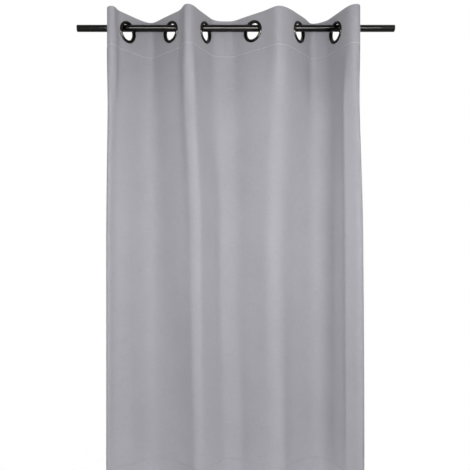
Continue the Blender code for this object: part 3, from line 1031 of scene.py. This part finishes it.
class CURTAIN_OT_rod(bpy.types.Operator):
    """Make the rod tube and its end plugs"""

    bl_idname = "curtain.rod"
    bl_label = "Rod"

    def execute(self, context):
        settings = context.scene.curtain_metal
        finish = plated_material("black_nickel_rod", settings.rod_colour, 0.20, (14, 900, 900))
        axes = np.array([[0, 1, 0], [0, 0, 1], [1, 0, 0]])
        low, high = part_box("rod_tube")
        wall, edge = 1 * MM, 0.25 * MM
        profile = np.array([
            (ROD_RADIUS, low[0] + edge), (ROD_RADIUS, high[0] - edge), (ROD_RADIUS - edge, high[0]),
            (ROD_RADIUS - wall, high[0]), (ROD_RADIUS - wall, low[0]), (ROD_RADIUS - edge, low[0]),
        ])
        tube = turned("rod", profile, (np.zeros(3), axes), settings.sides)
        tube.data.materials.append(finish)
        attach(tube, "rod")
        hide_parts("rod_tube")
        for side, way in (("left", -1), ("right", 1)):
            node = f"rod_end_plug_{side}"
            plug = turned(f"end_plug_{side}", plug_profile(way), (np.zeros(3), axes), settings.sides)
            plug.data.materials.append(finish)
            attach(plug, "rod")
            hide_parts(node)
        return {"FINISHED"}


def plug_profile(way):
    """An end plug's section: a shallow dished face, a chamfer, and the spigot inside the tube."""
    hub, spigot = 0.2 * MM, ROD_RADIUS - 1.3 * MM
    points = [
        (hub, 16.0), (spigot, 16.0), (spigot, 2.0), (ROD_RADIUS, 2.0), (ROD_RADIUS, 0.6),
        (ROD_RADIUS - 0.2 * MM, 0.25),
        (ROD_RADIUS - 0.6 * MM, 0.0), (ROD_RADIUS - 2 * MM, 0.0), (ROD_RADIUS - 3 * MM, 0.3), (hub, 0.5),
    ]
    return np.array([(radius, way * (ROD_HALF - depth * MM)) for radius, depth in points])


class CURTAIN_OT_stage(bpy.types.Operator):
    """Make the floor, the studio light and the camera"""

    bl_idname = "curtain.stage"
    bl_label = "Stage"

    def execute(self, context):
        settings = context.scene.curtain_stage
        scene = context.scene
        make_world(scene, settings.backdrop, settings.room_light)
        make_floor(settings.floor_glow)
        area_light("front_light", (0.10, -1.20, -0.49), (0, 0, -0.49), (1.8, 0.3), settings.front_power)
        area_light("left_light", (-1.7, -1.3, -0.60), (0, 0, -0.60), (1.2, 1.2), settings.side_power)
        area_light("right_light", (1.7, -1.3, -0.60), (0, 0, -0.60), (1.2, 1.2), settings.side_power)
        area_light("back_light", (0.3, 2.4, 0.3), (0, 0, -0.62), (1.6, 1.6), settings.back_power)
        strip = area_light("strip_light", (0.2, -2.0, 0.08), (0, 0, 0), (6.0, 0.14), settings.strip_power)
        strip.visible_diffuse = False
        camera = bpy.data.objects.new("camera", bpy.data.cameras.new("camera"))
        sensor = camera.data.sensor_width = 36
        camera.data.lens = sensor * settings.camera_distance / settings.view_height
        camera.data.shift_x = (settings.camera_left - settings.view_left) / settings.view_height
        camera.location = (-settings.camera_left, -settings.camera_distance, settings.camera_height)
        camera.rotation_euler = (math.pi / 2, 0, 0)
        scene.collection.objects.link(camera)
        scene.camera = camera
        scene.view_settings.view_transform = "Standard"
        return {"FINISHED"}


def make_world(scene, colour, room_light):
    """A studio whose walls look white and light the room softly."""
    world = bpy.data.worlds.new("studio")
    world.use_nodes = True
    tree = world.node_tree
    walls, soft = tree.nodes["Background"], tree.nodes.new("ShaderNodeBackground")
    for background, strength in ((walls, 1.0), (soft, room_light)):
        background.inputs["Color"].default_value = (*colour, 1)
        background.inputs["Strength"].default_value = strength
    path = tree.nodes.new("ShaderNodeLightPath")
    choose = tree.nodes.new("ShaderNodeMixShader")
    tree.links.new(path.outputs["Is Camera Ray"], choose.inputs[0])
    tree.links.new(soft.outputs[0], choose.inputs[1])
    tree.links.new(walls.outputs[0], choose.inputs[2])
    tree.links.new(choose.outputs[0], tree.nodes["World Output"].inputs["Surface"])
    scene.world = world


def make_floor(glow):
    """A round pale floor under the hem. It glows a little, and fades to nothing far from the curtain."""
    floor_z = HEM_Z - 0.20
    sides = 96
    angle = np.arange(sides) * (math.tau / sides)
    radii = np.array([4.0, 4.0, 0.01, 0.01])
    heights = np.array([floor_z, floor_z - 0.02, floor_z - 0.02, floor_z])
    verts = np.stack([
        radii[:, None] * np.cos(angle), radii[:, None] * np.sin(angle),
        np.broadcast_to(heights[:, None], (4, sides)),
    ], axis=-1)
    floor = new_object("floor", verts, grid_faces(4, sides, wrap_rows=True, wrap_columns=True), smooth_angle=30)
    made = Nodes("studio_floor")
    made.set(Base_Color=(0.95, 0.95, 0.95, 1), Roughness=0.9, Emission_Color=(1, 1, 1, 1), Emission_Strength=glow)
    reach = made.new("VectorMath")
    reach.operation = "LENGTH"
    made.join(made.place(), reach.inputs[0])
    far = made.new("MapRange")
    far.interpolation_type = "SMOOTHSTEP"
    far.inputs["From Min"].default_value = 1.35
    far.inputs["From Max"].default_value = 1.9
    made.join(reach.outputs["Value"], far.inputs["Value"])
    mix = made.new("MixShader")
    shares = (far.outputs["Result"], made.shader.outputs[0], made.new("BsdfTransparent").outputs[0])
    for output, target in zip(shares, mix.inputs):
        made.join(output, target)
    made.join(mix.outputs[0], made.tree.nodes["Material Output"].inputs["Surface"])
    floor.data.materials.append(made.material)


def area_light(name, place, target, size, power):
    """A rectangular soft box, which faces the target. Its size is its width and height."""
    data = bpy.data.lights.new(name, "AREA")
    data.shape = "RECTANGLE"
    data.size, data.size_y = size
    data.energy = power
    light = bpy.data.objects.new(name, data)
    light.location = place
    light.rotation_euler = (Vector(target) - light.location).to_track_quat("-Z", "Y").to_euler()
    bpy.context.scene.collection.objects.link(light)
    return light


class CURTAIN_PT_panel(bpy.types.Panel):
    """Lists the curtain's pieces and sizes"""

    bl_idname = "CURTAIN_PT_panel"
    bl_label = "Eyelet curtain"
    bl_space_type = "VIEW_3D"
    bl_region_type = "UI"
    bl_category = "Curtain"

    def draw(self, context):
        for group in ("curtain_cloth", "curtain_metal", "curtain_stage"):
            settings = getattr(context.scene, group)
            box = self.layout.box()
            for name in settings.__annotations__:
                box.prop(settings, name)
        for operator in PIECES:
            self.layout.operator(operator.bl_idname)


PIECES = (
    CURTAIN_OT_cloth, CURTAIN_OT_stiffener, CURTAIN_OT_seams, CURTAIN_OT_eyelets, CURTAIN_OT_rod, CURTAIN_OT_stage,
)
GROUPS = {
    "curtain_cloth": CurtainClothSettings,
    "curtain_metal": CurtainMetalSettings,
    "curtain_stage": CurtainStageSettings,
}


def register():
    for group in GROUPS.values():
        bpy.utils.register_class(group)
    for name, group in GROUPS.items():
        setattr(bpy.types.Scene, name, PointerProperty(type=group))
    for operator in PIECES:
        bpy.utils.register_class(operator)
    bpy.utils.register_class(CURTAIN_PT_panel)


def unregister():
    bpy.utils.unregister_class(CURTAIN_PT_panel)
    for operator in reversed(PIECES):
        bpy.utils.unregister_class(operator)
    for name, group in GROUPS.items():
        delattr(bpy.types.Scene, name)
        bpy.utils.unregister_class(group)


def main():
    register()
    bpy.ops.curtain.cloth()
    bpy.ops.curtain.stiffener()
    bpy.ops.curtain.seams()
    bpy.ops.curtain.eyelets()
    bpy.ops.curtain.rod()
    bpy.ops.curtain.stage()


if __name__ == "__main__":
    main()
